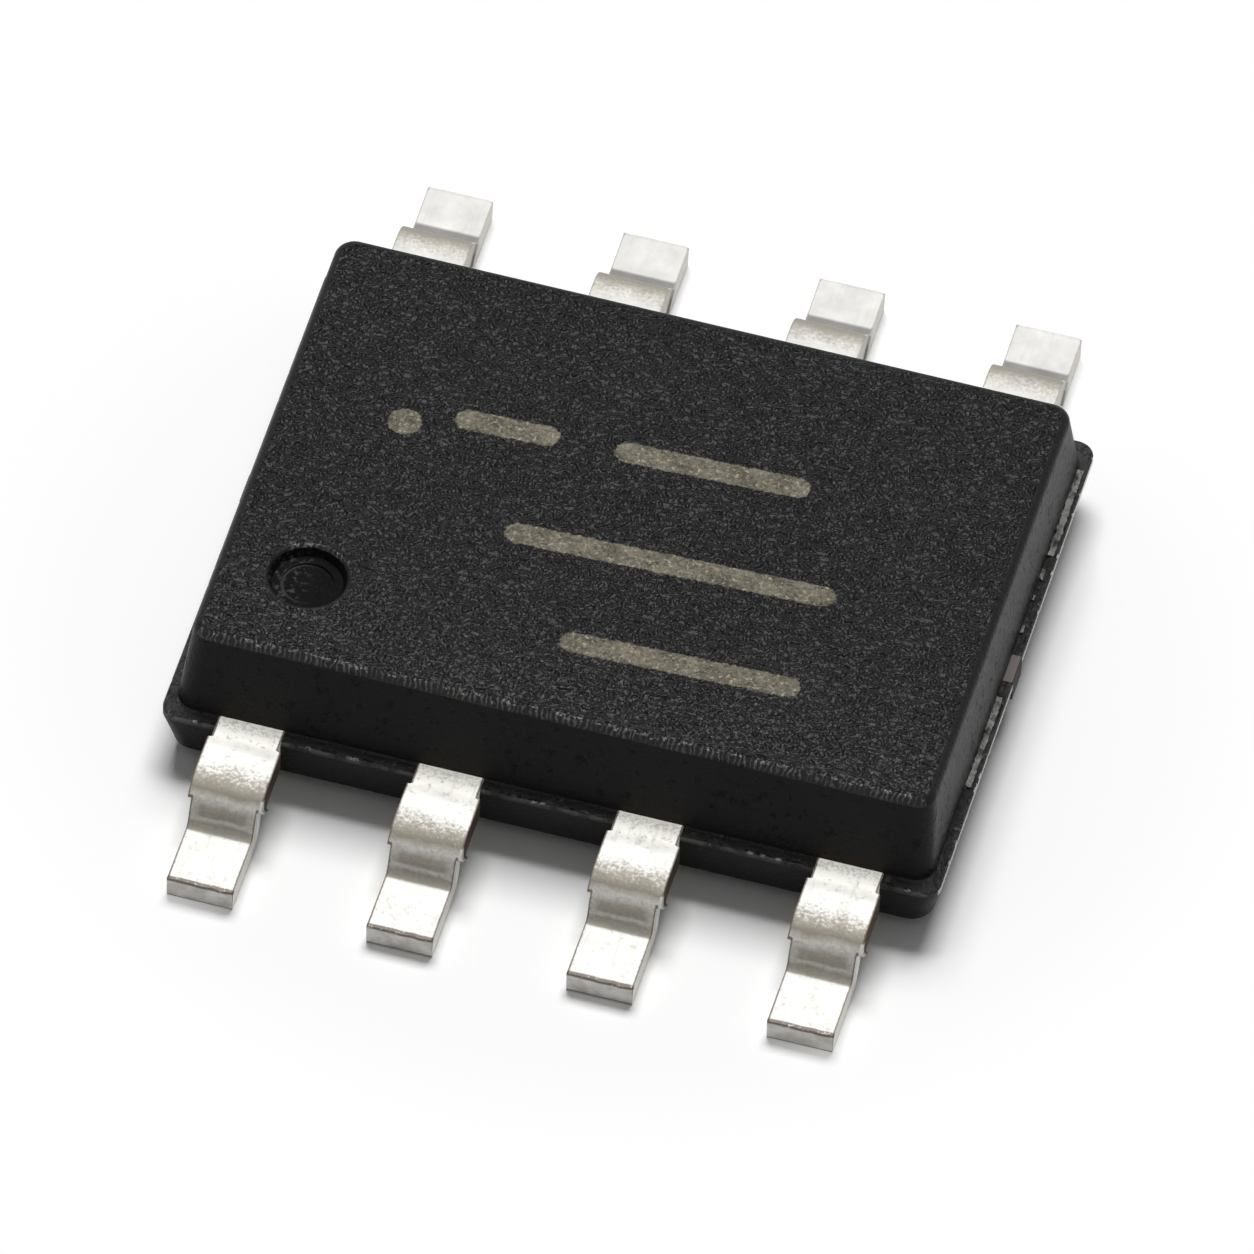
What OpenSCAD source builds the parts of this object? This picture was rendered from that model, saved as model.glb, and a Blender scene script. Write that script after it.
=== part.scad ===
// Eight-lead surface-mount integrated circuit in a moulded gull-wing package.
// The origin is on the board plane under the middle of the body.
// +X runs along the lead rows, +Y across them and +Z up, away from the board.

/* [Moulded body] */
// Length over the parting ledge, along the lead rows
body_l = 4.95; // [4.8:0.01:5.2]
// Width over the parting ledge, across the lead rows
body_w = 3.84; // [3.7:0.01:4.0]
// Height of the upper mould half, from the parting plane to the top face
upper_h = 0.58; // [0.55:0.01:0.9]
// Height of the lower mould half, from its underside to the parting plane
lower_h = 0.34; // [0.33:0.01:0.5]
// Air gap between the board and the underside
standoff = 0.08; // [0.05:0.01:0.2]
// Ledge along each side, where the upper half is the narrower one
side_ledge = 0.1; // [0.04:0.005:0.14]
// Ledge at each end, where the upper half is the shorter one
end_ledge = 0.065; // [0.03:0.005:0.1]
// Upright rim under the ledge
rim_h = 0.06; // [0.03:0.01:0.1]
// Lean of the upper half's long walls, from base to top
side_draft = 0.12; // [0.04:0.01:0.16]
// Lean of the upper half's end walls, from base to top
end_draft = 0.05; // [0.02:0.005:0.12]
// Lean of the lower half's walls, from rim to underside
lower_draft = 0.05; // [0.03:0.01:0.14]
// Corner radius of the upper half, seen from above
upper_corner_r = 0.13; // [0.1:0.01:0.24]
// Corner radius of the ledge, seen from above
ledge_corner_r = 0.12; // [0.08:0.01:0.2]
// Corner radius of the underside, seen from below
lower_corner_r = 0.15; // [0.12:0.01:0.26]
// Rounding along the edges of the top face
top_edge_r = 0.07; // [0.03:0.005:0.09]
// Rounding along the edges of the underside
lower_edge_r = 0.04; // [0.02:0.005:0.06]

/* [Pin one mark and ejector marks] */
// Diameter of the pin one dimple at the top face
dimple_d = 0.5; // [0.3:0.01:0.7]
// Depth of the dimple's wall
dimple_depth = 0.07; // [0.03:0.005:0.1]
// Lean of the dimple's wall, from mouth to floor
dimple_draft = 0.03; // [0.01:0.005:0.05]
// Diameter of the lower step in the dimple's floor
dimple_step_d = 0.33; // [0.15:0.01:0.4]
// Depth of that step
dimple_step = 0.012; // [0.005:0.001:0.03]
// Distance from the end of the body to the dimple's middle
dimple_from_end = 0.69; // [0.6:0.01:0.95]
// Distance from the side of the body to the dimple's middle
dimple_from_side = 0.865; // [0.65:0.005:1]
// Diameter of the ejector marks in the underside
ejector_d = 0.7; // [0.4:0.05:1]
// Depth of the ejector marks
ejector_depth = 0.02; // [0.01:0.005:0.04]
// Distance between the ejector marks
ejector_pitch = 2.6; // [1.6:0.1:3]

/* [Leads] */
// Distance between neighbouring leads of a row
pitch = 1.27; // [1.2:0.01:1.3]
// Distance over the tips of opposite feet
lead_span = 5.9; // [5.7:0.01:6.3]
// Thickness of the lead frame's sheet
sheet_t = 0.16; // [0.14:0.01:0.21]
// Width of a lead
lead_w = 0.42; // [0.3:0.01:0.5]
// Width left where the dam bar was cut off
dam_w = 0.47; // [0.43:0.01:0.56]
// Distance from the upper wall to the dam bar's stub
neck_l = 0.17; // [0.12:0.01:0.22]
// Length of the flat foot
foot_l = 0.4; // [0.3:0.01:0.5]
// Slope of the lead between shoulder and foot, in degrees
lead_slope = 72; // [60:1:80]
// Inside radius of the shoulder bend
shoulder_r = 0.06; // [0.03:0.005:0.08]
// Inside radius of the heel bend
heel_r = 0.06; // [0.03:0.005:0.08]
// Part of the shoulder bend that the dam bar's stub runs into, in degrees
dam_bend = 52; // [0:1:60]

/* [Lead frame inside the body] */
// Length of the die paddle
paddle_l = 2.6; // [2:0.05:2.9]
// Width of the die paddle
paddle_w = 1.9; // [1.4:0.05:2]
// How far the paddle is pressed down below the leads
downset = 0.08; // [0.02:0.01:0.12]
// Width of the tie bars at the paddle's ends
tie_w = 0.22; // [0.15:0.01:0.5]
// Length of a tie bar's lower straight, next to the paddle
tie_low_l = 0.2; // [0.1:0.01:0.4]
// Length of a tie bar's ramp, up to the plane of the leads
tie_ramp_l = 0.15; // [0.1:0.01:0.3]
// Gap between the paddle and the inner ends of the leads
finger_gap = 0.15; // [0.1:0.01:0.25]
// Length of the widened inner end of a lead
finger_l = 0.45; // [0.3:0.01:0.5]
// Width of the widened inner end of a lead
finger_w = 0.82; // [0.6:0.01:0.9]
// Chamfer on the corners of that end
finger_chamfer = 0.08; // [0.03:0.01:0.12]
// How far the corner leads' inner ends are set towards the middle
finger_shift = 0.18; // [0.1:0.01:0.2]

/* [Die and bond wires] */
// Length of the silicon die
die_l = 1.4; // [0.8:0.05:1.8]
// Width of the silicon die
die_w = 1.1; // [0.6:0.05:1.4]
// Thickness of the silicon die
die_t = 0.2; // [0.1:0.01:0.25]
// Thickness of the die attach layer
attach_t = 0.03; // [0.01:0.005:0.05]
// How far the die attach layer spreads past the die
attach_spread = 0.06; // [0.02:0.01:0.1]
// Diameter of a bond wire
wire_d = 0.05; // [0.03:0.005:0.06]
// Rise of a bond wire's loop over the straight line between its ends
wire_loop = 0.27; // [0.2:0.01:0.3]
// Diameter of the ball at a wire's end on the die
ball_d = 0.1; // [0.08:0.005:0.14]
// Height of that ball
ball_h = 0.03; // [0.02:0.005:0.04]
// Distance from the die's edges to the bond pads
pad_inset = 0.13; // [0.1:0.01:0.2]
// Distance from a lead's inner end to the wire's stitch
stitch_inset = 0.14; // [0.1:0.01:0.2]

/* [Hidden] */
ROW = 4;
LEADS = 2 * ROW;

CORNER_FN = 32;
EDGE_FN = 16;
ROUND_FN = 48;
BEND_STEPS = 10;
WIRE_SIDES = 8;
WIRE_RINGS = 12;
// Power by which a wire's way outwards lags behind its rise, so that it leaves the ball upright
WIRE_LAG = 1.6;
// Slack by which a cutting solid passes the face that it opens
cut = 0.1;

MOULD = [0.09, 0.09, 0.1];
TIN = [0.85, 0.84, 0.8];
COPPER = [0.72, 0.45, 0.32];
EPOXY = [0.6, 0.6, 0.58];
SILICON = [0.32, 0.34, 0.4];
WIRE = [0.8, 0.5, 0.35];

parting_z = standoff + lower_h;
top_z = parting_z + upper_h;
sheet_z = parting_z - sheet_t;

upper_l = body_l - 2 * end_ledge;
upper_w = body_w - 2 * side_ledge;
top_l = upper_l - 2 * end_draft;
top_w = upper_w - 2 * side_draft;
lower_l = body_l - 2 * lower_draft;
lower_w = body_w - 2 * lower_draft;

// The lead's side outline, measured outwards from the middle of the body
shoulder_out_r = shoulder_r + sheet_t;
drop = parting_z - sheet_t;
bend_share = 1 - cos(lead_slope);
heel_in_r = min(heel_r, drop / bend_share - shoulder_out_r);
slope_l = (drop - (shoulder_out_r + heel_in_r) * bend_share) / sin(lead_slope);
bend_run = (shoulder_out_r + heel_in_r) * sin(lead_slope) + slope_l * cos(lead_slope);
tip_y = lead_span / 2;
heel_y = tip_y - foot_l;
shoulder_y = heel_y - bend_run;
dam_start_y = upper_w / 2 + neck_l;
finger_y = paddle_w / 2 + finger_gap;
neck_y = finger_y + finger_l;
// The bent strip starts inside the widened end
strip_y = finger_y + finger_l / 2;
shoulder_centre = [shoulder_y, sheet_z - shoulder_r];
heel_centre = [heel_y, sheet_t + heel_in_r];

paddle_z = sheet_z - downset;
mount_z = paddle_z + sheet_t;
attach_z = mount_z + attach_t;
die_z = attach_z + die_t;
stitch_y = finger_y + stitch_inset;
pad_y = die_w / 2 - pad_inset;
pad_pitch = (die_l - 2 * pad_inset) / (ROW - 1);

// Leads 1 to 4 stand along the front from left to right, 5 to 8 along the back from right to left
function place_in_row(n) = (n - 1) % ROW;
function along_row(n) = place_in_row(n) - (ROW - 1) / 2;
function row_turn(n) = n <= ROW ? 0 : 180;
// Corner leads lean their inner ends towards the middle of the row
function lean(n) = place_in_row(n) == 0 ? 1 : place_in_row(n) == ROW - 1 ? -1 : 0;
function arc(centre, r, from, to) =
  [for (i = [0:BEND_STEPS]) let (a = from + (to - from) * i / BEND_STEPS) centre + r * [cos(a), sin(a)]];

module at_corners(l, w, r) {
  for (x = [-1, 1], y = [-1, 1])
    translate([x * (l / 2 - r), y * (w / 2 - r), 0])
      children();
}

// The half of the section past the axis is left out where the corner is tighter than the ring
module rounded_ring(r, edge_r) {
  rotate_extrude($fn = CORNER_FN)
    intersection() {
      translate([r - edge_r, 0])
        circle(edge_r, $fn = EDGE_FN);
      translate([0, -edge_r])
        square([r, 2 * edge_r]);
    }
}

// Upper mould half, with its foot sunk through the rim so that both halves are one moulding
module upper_half() {
  hull() {
    translate([0, 0, parting_z - rim_h])
      at_corners(upper_l, upper_w, upper_corner_r)
        cylinder(r = upper_corner_r, h = rim_h, $fn = CORNER_FN);
    translate([0, 0, top_z - top_edge_r])
      at_corners(top_l, top_w, upper_corner_r)
        rounded_ring(upper_corner_r, top_edge_r);
  }
}

module lower_half() {
  hull() {
    translate([0, 0, parting_z - rim_h])
      at_corners(body_l, body_w, ledge_corner_r)
        cylinder(r = ledge_corner_r, h = rim_h, $fn = CORNER_FN);
    translate([0, 0, standoff + lower_edge_r])
      at_corners(lower_l, lower_w, lower_corner_r)
        rounded_ring(lower_corner_r, lower_edge_r);
  }
}

module dimple() {
  translate([dimple_from_end - body_l / 2, dimple_from_side - body_w / 2, top_z]) {
    translate([0, 0, -dimple_depth])
      cylinder(d1 = dimple_d - 2 * dimple_draft, d2 = dimple_d, h = dimple_depth, $fn = ROUND_FN);
    cylinder(d = dimple_d, h = cut, $fn = ROUND_FN);
    translate([0, 0, -dimple_depth - dimple_step])
      cylinder(d = dimple_step_d, h = dimple_step + cut, $fn = ROUND_FN);
  }
}

module ejector_marks() {
  for (x = [-1, 1])
    translate([x * ejector_pitch / 2, 0, standoff - cut])
      cylinder(d = ejector_d, h = ejector_depth + cut, $fn = ROUND_FN);
}

// Everything that the mould compound is cast around
module cast_in() {
  paddle_form();
  attach_form();
  die_form();
  for (n = [1:LEADS]) {
    lead_form(n);
    wire_form(n);
  }
}

module moulded_body() {
  color(MOULD)
    difference() {
      union() {
        upper_half();
        lower_half();
      }
      cast_in();
      dimple();
      ejector_marks();
    }
}

// A tie bar climbs from the pressed-down paddle to the plane of the leads and ends flush with the ledge
module tie_bar() {
  low_x = paddle_l / 2 + tie_low_l;
  high_x = low_x + tie_ramp_l;
  end_x = body_l / 2;
  rotate([90, 0, 0])
    linear_extrude(tie_w, center = true)
      polygon([
        [0, paddle_z], [low_x, paddle_z], [high_x, sheet_z], [end_x, sheet_z],
        [end_x, parting_z], [high_x, parting_z], [low_x, mount_z], [0, mount_z]
      ]);
}

module paddle_form() {
  translate([-paddle_l / 2, -paddle_w / 2, paddle_z])
    cube([paddle_l, paddle_w, sheet_t]);
  for (turn = [0, 180])
    rotate(turn)
      tie_bar();
}

module attach_form() {
  attach_l = die_l + 2 * attach_spread;
  attach_w = die_w + 2 * attach_spread;
  translate([-attach_l / 2, -attach_w / 2, mount_z])
    cube([attach_l, attach_w, attach_t]);
}

module die_form() {
  translate([-die_l / 2, -die_w / 2, attach_z])
    cube([die_l, die_w, die_t]);
}

// The bent strip seen from its side: shoulder, slope, heel and foot
module lead_side() {
  polygon(concat(
    [[strip_y, parting_z]],
    arc(shoulder_centre, shoulder_out_r, 90, 90 - lead_slope),
    arc(heel_centre, heel_in_r, 270 - lead_slope, 270),
    [[tip_y, sheet_t], [tip_y, 0]],
    arc(heel_centre, heel_in_r + sheet_t, 270, 270 - lead_slope),
    arc(shoulder_centre, shoulder_r, 90 - lead_slope, 90),
    [[strip_y, sheet_z]]
  ));
}

// The dam bar's stretch seen from its side: from the neck round part of the shoulder bend
module dam_side() {
  past = 2 * shoulder_out_r;
  intersection() {
    lead_side();
    polygon([
      [dam_start_y, shoulder_centre.y], shoulder_centre,
      shoulder_centre + past * [sin(dam_bend), cos(dam_bend)],
      shoulder_centre + [0, past], [dam_start_y, shoulder_centre.y + past]
    ]);
  }
}

module across_row(w) {
  rotate([90, 0, -90])
    linear_extrude(w, center = true)
      children();
}

// Widened inner end that the compound locks round and the wire is stitched to
module finger() {
  half = finger_w / 2;
  c = finger_chamfer;
  linear_extrude(sheet_t)
    polygon([
      [half - c, -finger_y], [half, -finger_y - c], [half, c - neck_y], [half - c, -neck_y],
      [c - half, -neck_y], [-half, c - neck_y], [-half, -finger_y - c], [c - half, -finger_y]
    ]);
}

module lead_form(n) {
  rotate(row_turn(n))
    translate([along_row(n) * pitch, 0, 0]) {
      across_row(lead_w)
        lead_side();
      across_row(dam_w)
        dam_side();
      translate([lean(n) * finger_shift, 0, sheet_z])
        finger();
    }
}

// A wire rises straight from its ball on the die and comes down in an arch to its lead
function wire_start(n) = [along_row(n) * pad_pitch, -pad_y, die_z];
function wire_end(n) = [along_row(n) * pitch + lean(n) * finger_shift, -stitch_y, parting_z];
function loop_point(a, b, u) =
  let (
    way = pow(u, WIRE_LAG),
    rise = (b.z - a.z) * u + 4 * wire_loop * u * (1 - u)
  )
    [a.x + (b.x - a.x) * way, a.y + (b.y - a.y) * way, a.z + rise];
function loop_slope(a, b, u) =
  let (flat = norm([b.x - a.x, b.y - a.y]))
    [WIRE_LAG * pow(u, WIRE_LAG - 1) * flat, b.z - a.z + 4 * wire_loop * (1 - 2 * u)];
function wire_ring(a, b, u) =
  let (
    heading = [b.x - a.x, b.y - a.y, 0] / norm([b.x - a.x, b.y - a.y]),
    slope = loop_slope(a, b, u) / norm(loop_slope(a, b, u)),
    tangent = heading * slope.x + [0, 0, slope.y],
    across = [-heading.y, heading.x, 0],
    upward = cross(tangent, across),
    middle = loop_point(a, b, u)
  )
    [for (i = [0:WIRE_SIDES - 1])
      let (
        t = 360 * i / WIRE_SIDES,
        p = middle + wire_d / 2 * (cos(t) * across + sin(t) * upward)
      )
        u < 1 ? p : p + tangent * (b.z - p.z) / tangent.z];

module wire_sweep(a, b) {
  rings = [for (i = [0:WIRE_RINGS]) each wire_ring(a, b, i / WIRE_RINGS)];
  last = WIRE_RINGS * WIRE_SIDES;
  polyhedron(
    rings,
    concat(
      [[for (i = [0:WIRE_SIDES - 1]) i]],
      [for (k = [0:WIRE_RINGS - 1], i = [0:WIRE_SIDES - 1])
        let (here = k * WIRE_SIDES, there = here + WIRE_SIDES, j = (i + 1) % WIRE_SIDES)
          [here + i, there + i, there + j, here + j]],
      [[for (i = [WIRE_SIDES - 1:-1:0]) last + i]]
    )
  );
}

module wire_form(n) {
  a = wire_start(n);
  rotate(row_turn(n)) {
    wire_sweep(a, wire_end(n));
    translate(a)
      cylinder(d = ball_d, h = ball_h, $fn = CORNER_FN);
  }
}

module die_paddle() {
  color(COPPER)
    paddle_form();
}

module die_attach() {
  color(EPOXY)
    attach_form();
}

module silicon_die() {
  color(SILICON)
    die_form();
}

module lead(n) {
  color(TIN)
    lead_form(n);
}

module bond_wire(n) {
  color(WIRE)
    wire_form(n);
}

moulded_body();
die_paddle();
die_attach();
silicon_die();
for (n = [1:LEADS]) {
  lead(n);
  bond_wire(n);
}
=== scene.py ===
"""Looks for an eight-lead moulded integrated circuit, modelled around its solid frame.

Pieces are modelled in millimetres and scaled to metres when they are finished.
"""

import math
from types import SimpleNamespace

import bmesh
import bpy
from mathutils import Matrix, Vector


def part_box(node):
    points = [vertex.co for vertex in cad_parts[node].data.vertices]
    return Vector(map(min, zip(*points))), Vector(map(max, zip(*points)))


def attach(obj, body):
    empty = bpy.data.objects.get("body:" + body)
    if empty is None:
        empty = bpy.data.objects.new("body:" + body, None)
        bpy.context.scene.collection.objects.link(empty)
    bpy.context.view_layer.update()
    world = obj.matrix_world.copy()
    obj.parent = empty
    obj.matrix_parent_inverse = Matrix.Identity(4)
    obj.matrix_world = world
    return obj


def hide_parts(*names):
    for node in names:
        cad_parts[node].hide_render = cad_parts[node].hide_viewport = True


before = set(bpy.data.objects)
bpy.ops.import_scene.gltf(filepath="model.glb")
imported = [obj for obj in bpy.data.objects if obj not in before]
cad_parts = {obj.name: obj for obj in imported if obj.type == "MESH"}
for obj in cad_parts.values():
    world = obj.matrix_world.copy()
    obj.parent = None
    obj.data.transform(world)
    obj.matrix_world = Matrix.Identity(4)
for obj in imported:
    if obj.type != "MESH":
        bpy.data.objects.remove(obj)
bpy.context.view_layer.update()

bl_info = {
    "name": "Moulded gull-wing circuit",
    "version": (1, 0, 0),
    "blender": (4, 5, 0),
    "location": "View3D > Sidebar > Circuit",
    "description": "Models and finishes an eight-lead moulded circuit around its solid frame",
    "category": "Add Mesh",
}

MM = 0.001
BODY_LOW, BODY_HIGH = (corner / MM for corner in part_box("moulded_body"))
LEAD_LOW, LEAD_HIGH = (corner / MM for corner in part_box("lead_1"))
ROW = 4
LEADS = 2 * ROW


def box_middle(node):
    """Middle of a solid's box, in millimetres."""
    low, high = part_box(node)
    return (low + high) / 2 / MM


PITCH = (box_middle("lead_3") - box_middle("lead_2")).x


def length(name, description, default):
    """A size in millimetres, with its name and description for the sidebar."""
    return bpy.props.FloatProperty(
        name=name, description=description, default=default, precision=3, subtype="DISTANCE"
    )


def angle(name, description, degrees):
    """An angle, given in degrees and kept in radians."""
    return bpy.props.FloatProperty(
        name=name, description=description, default=math.radians(degrees), subtype="ANGLE", unit="ROTATION"
    )


def colour(name, description, default):
    """A plain colour."""
    return bpy.props.FloatVectorProperty(
        name=name, description=description, default=default, size=3, min=0, max=1, subtype="COLOR"
    )


class CircuitBodySizes(bpy.types.PropertyGroup):
    """Sizes of the moulded body, in millimetres"""

    body_l: length("Length", "Length over the parting ledge", BODY_HIGH.x - BODY_LOW.x)
    body_w: length("Width", "Width over the parting ledge", BODY_HIGH.y - BODY_LOW.y)
    underside_z: length("Underside", "Height of the underside over the board", BODY_LOW.z)
    parting_z: length("Parting plane", "Height of the ledge over the board", LEAD_HIGH.z)
    top_z: length("Top", "Height of the top face over the board", BODY_HIGH.z)
    side_ledge: length("Side ledge", "Width of the ledge along the lead rows", 0.1)
    end_ledge: length("End ledge", "Width of the ledge at the ends", 0.065)
    rim_h: length("Rim", "Height of the upright rim under the ledge", 0.06)
    rim_r: length("Rim rounding", "Rounding on the ledge's outer edge", 0.012)
    groove: length("Groove", "Depth of the groove along the foot of the upper walls", 0.012)
    side_draft: length("Side draft", "Lean of the upper long walls", 0.12)
    end_draft: length("End draft", "Lean of the upper end walls", 0.05)
    lower_draft: length("Lower draft", "Lean of the lower walls", 0.05)
    upper_corner_r: length("Upper corners", "Corner radius of the upper half", 0.13)
    ledge_corner_r: length("Ledge corners", "Corner radius of the ledge", 0.12)
    lower_corner_r: length("Lower corners", "Corner radius of the underside", 0.15)
    top_edge_r: length("Top rounding", "Rounding round the top face", 0.07)
    lower_edge_r: length("Lower rounding", "Rounding round the underside", 0.04)
    dimple_d: length("Dimple", "Diameter of the pin one dimple", 0.5)
    dimple_depth: length("Dimple depth", "Depth of the dimple's wall", 0.07)
    dimple_draft: length("Dimple draft", "Lean of the dimple's wall", 0.03)
    dimple_step_d: length("Dimple step", "Diameter of the step in the dimple's floor", 0.33)
    dimple_step: length("Dimple step depth", "Depth of that step", 0.012)
    dimple_lip: length("Dimple lip", "Rounding on the dimple's mouth", 0.018)
    dimple_from_end: length("Dimple from end", "From the body's end to the dimple's middle", 0.69)
    dimple_from_side: length("Dimple from side", "From the body's side to the dimple's middle", 0.865)
    ejector_d: length("Ejector marks", "Diameter of the ejector marks underneath", 0.7)
    ejector_depth: length("Ejector depth", "Depth of the ejector marks", 0.02)
    ejector_pitch: length("Ejector pitch", "Distance between the ejector marks", 2.6)
    ledge_chip: length("Ledge chipping", "How far the ledge's broken skin strays", 0.007)
    tie_w: length("Tie bars", "Width of the tie bars at the ends of the ledge", 0.22)


class CircuitLeadSizes(bpy.types.PropertyGroup):
    """Sizes of the formed leads, in millimetres"""

    tip_y: length("Tip", "From the middle of the body to a lead's tip", -LEAD_LOW.y)
    inner_y: length("Inner end", "From the middle of the body to a lead's inner end", -LEAD_HIGH.y)
    sheet_t: length("Sheet", "Thickness of the lead frame's sheet", 0.16)
    lead_w: length("Width", "Width of a lead", 0.42)
    dam_w: length("Dam bar stub", "Width left where the dam bar was cut off", 0.47)
    neck_l: length("Neck", "From the upper wall to the dam bar's stub", 0.17)
    foot_l: length("Foot", "Length of the flat foot", 0.4)
    slope: angle("Slope", "Slope between shoulder and foot", 72)
    dam_bend: angle("Stub bend", "Part of the shoulder bend that the stub runs into", 52)
    shoulder_r: length("Shoulder", "Inside radius of the shoulder bend", 0.06)
    heel_r: length("Heel", "Inside radius of the heel bend", 0.06)
    finger_l: length("Inner end length", "Length of the widened inner end", 0.45)
    finger_w: length("Inner end width", "Width of the widened inner end", 0.82)
    finger_chamfer: length("Inner end chamfer", "Chamfer on the inner end's corners", 0.08)
    finger_shift: length("Inner end shift", "Shift of the corner leads' inner ends", 0.18)
    edge_r: length("Edge rounding", "Rounding on the stamped edges", 0.01)
    tip_tear: length("Tip tear", "How far the sheared tip strays from a straight line", 0.006)
    burr: length("Burr", "Size of the burr at the end of a stub", 0.02)


class CircuitColours(bpy.types.PropertyGroup):
    """Colours of the finishes"""

    compound: colour("Compound", "Textured top of the mould compound", (0.005, 0.005, 0.0052))
    skin: colour("Skin", "Smooth skin on the mould compound's walls", (0.006, 0.006, 0.006))
    stain: colour("Stain", "Brown stain on the wall over a lead", (0.02, 0.012, 0.006))
    # The scuff colour also lightens the ledge's top as painted light.
    scuff_and_ledge_light: colour("Scuffs", "Scuffed skin on the end walls", (0.04, 0.037, 0.036))
    # The chip colour is also the pale of painted glints on the top and its front rounding, painted light in
    # the dimple and a painted highlight on the end rims.
    chip_and_highlight: colour("Chips", "Broken compound on the ledge", (0.2, 0.2, 0.19))
    etch: colour("Etched marks", "Laser-etched compound", (0.205, 0.187, 0.14))
    tin: colour("Tin", "Fresh tin plating", (0.6, 0.595, 0.575))
    # The rubbed colour is also painted shade on the leads' slope and heel crease and on the far row's bend.
    rubbed: colour("Rubbed tin", "Tin rubbed by the forming tool", (0.25, 0.232, 0.196))
    bare: colour("Bare copper", "Copper alloy where the plating is cut away", (0.085, 0.058, 0.045))
    tarnish: colour("Tarnish", "Tarnished ends of the tie bars", (0.13, 0.115, 0.112))
    copper: colour("Copper", "Copper alloy of the lead frame", (0.55, 0.31, 0.19))
    epoxy: colour("Die attach", "Filled epoxy under the die", (0.42, 0.42, 0.4))
    silicon: colour("Silicon", "Silicon die", (0.1, 0.11, 0.14))


class CircuitStage(bpy.types.PropertyGroup):
    """Camera and light"""

    azimuth: angle("Azimuth", "Camera's turn to the right of the front", 12.917)
    elevation: angle("Elevation", "Camera's height over the horizon", 49.51)
    roll: angle("Roll", "Camera's turn about its own axis", -3.383)
    distance: length("Distance", "From the camera to the point that it is set out from", 173.6)
    aim_z: length("Aim height", "Height of that point over the board", 0.6)
    slide_x: length("Slide right", "Camera's slide along the picture's width", -0.0273)
    slide_y: length("Slide up", "Camera's slide along the picture's height", -0.4152)
    lens: bpy.props.FloatProperty(
        name="Lens", description="Focal length of the camera", default=809.0, unit="CAMERA"
    )
    ambient: bpy.props.FloatProperty(
        name="Ambient", description="Share of the light that comes from all round", default=0.18, min=0
    )


CORNER_SEGMENTS = 12
EDGE_SEGMENTS = 6
# Cuts in each half of a loop's long and short sides, close enough to chip the ledge between them
HALF_SIDE_CUTS = (98, 74)
LOOP_VERTS = 4 * (CORNER_SEGMENTS + 1) + 2 * sum(2 * cuts + 1 for cuts in HALF_SIDE_CUTS)
# Places of the ledge's own loops, as shares of its width from the outside
LEDGE_SHARES = (0.12, 0.35, 0.6, 0.85)
LEAD_COLUMNS = 9
HEEL_STEPS = 8
SHOULDER_STEPS = 3
STUB_STEPS = 8
ROUND_VERTS = 96
LIP_SEGMENTS = 3
STAMPED_SEGMENTS = 2
STAMPED_ANGLE = math.radians(40)
SMOOTH_ANGLE = math.radians(35)
LEDGE_SEED = 4
TIP_SEED = 2
# Edges longer than this are straight sides, not parts of a corner
LONG_EDGE = 1
# How much of a face's normal lies along an axis when the face counts as leaning, square on or flat
LEANING = 0.2
SQUARE_ON = 0.9
FLAT = 0.99
# Share of the dimple's lip that keeps the finish of the top
LIP_SHARE = 0.8
TINY = 1e-4


def deselect_all():
    """Leaves edit mode and deselects everything."""
    if bpy.context.mode != "OBJECT":
        leave_edit()
    bpy.ops.object.select_all(action="DESELECT")


def pick(piece):
    """Makes a piece the active one and the only one selected."""
    deselect_all()
    bpy.context.view_layer.objects.active = piece
    piece.select_set(True)


def edit(piece):
    """Picks a piece and opens it in edit mode."""
    pick(piece)
    bpy.ops.object.mode_set(mode="EDIT")


def leave_edit():
    """Goes back to object mode."""
    bpy.ops.object.mode_set(mode="OBJECT")


def select_all():
    """Selects the whole open mesh."""
    bpy.ops.mesh.select_all(action="SELECT")


def turn_outwards():
    """Turns all faces of the open mesh outwards."""
    select_all()
    bpy.ops.mesh.normals_make_consistent(inside=False)


def apply_place():
    """Puts the active piece's place, turn and scale into its mesh."""
    bpy.ops.object.transform_apply(location=True, rotation=True, scale=True)


def name_piece(piece, name):
    """Names a piece and its mesh."""
    piece.name = name
    piece.data.name = name


def select_parts(piece, kind, test):
    """Selects the verts, edges or faces of the open mesh that pass a test, and nothing else."""
    bpy.ops.mesh.select_mode(type={"verts": "VERT", "edges": "EDGE", "faces": "FACE"}[kind])
    bpy.ops.mesh.select_all(action="DESELECT")
    mesh = bmesh.from_edit_mesh(piece.data)
    mesh.verts.index_update()
    for part in getattr(mesh, kind):
        if test(part):
            part.select_set(True)
    mesh.select_flush_mode()
    bmesh.update_edit_mesh(piece.data)


def start_mesh(name):
    """Adds a plane and opens it in edit mode with nothing left in it, ready for outlines."""
    deselect_all()
    bpy.ops.mesh.primitive_plane_add(size=1)
    piece = bpy.context.object
    name_piece(piece, name)
    edit(piece)
    select_all()
    bpy.ops.mesh.delete(type="VERT")
    return piece


def scale_selected(factors, centre):
    """Scales what is selected about a point."""
    bpy.ops.transform.resize(value=factors, center_override=centre)


def extrude(step):
    """Extrudes what is selected by a step."""
    bpy.ops.mesh.extrude_region_move(TRANSFORM_OT_translate={"value": step})


def roughen(offset, seed):
    """Moves each selected vert a little, each its own way."""
    bpy.ops.transform.vertex_random(offset=offset, seed=seed)


def apply_modifier(piece, kind, **settings):
    """Adds a modifier with its settings and applies it."""
    bpy.context.view_layer.objects.active = piece
    modifier = piece.modifiers.new(kind.title(), kind)
    for key, value in settings.items():
        setattr(modifier, key, value)
    bpy.ops.object.modifier_apply(modifier=modifier.name)


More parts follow.
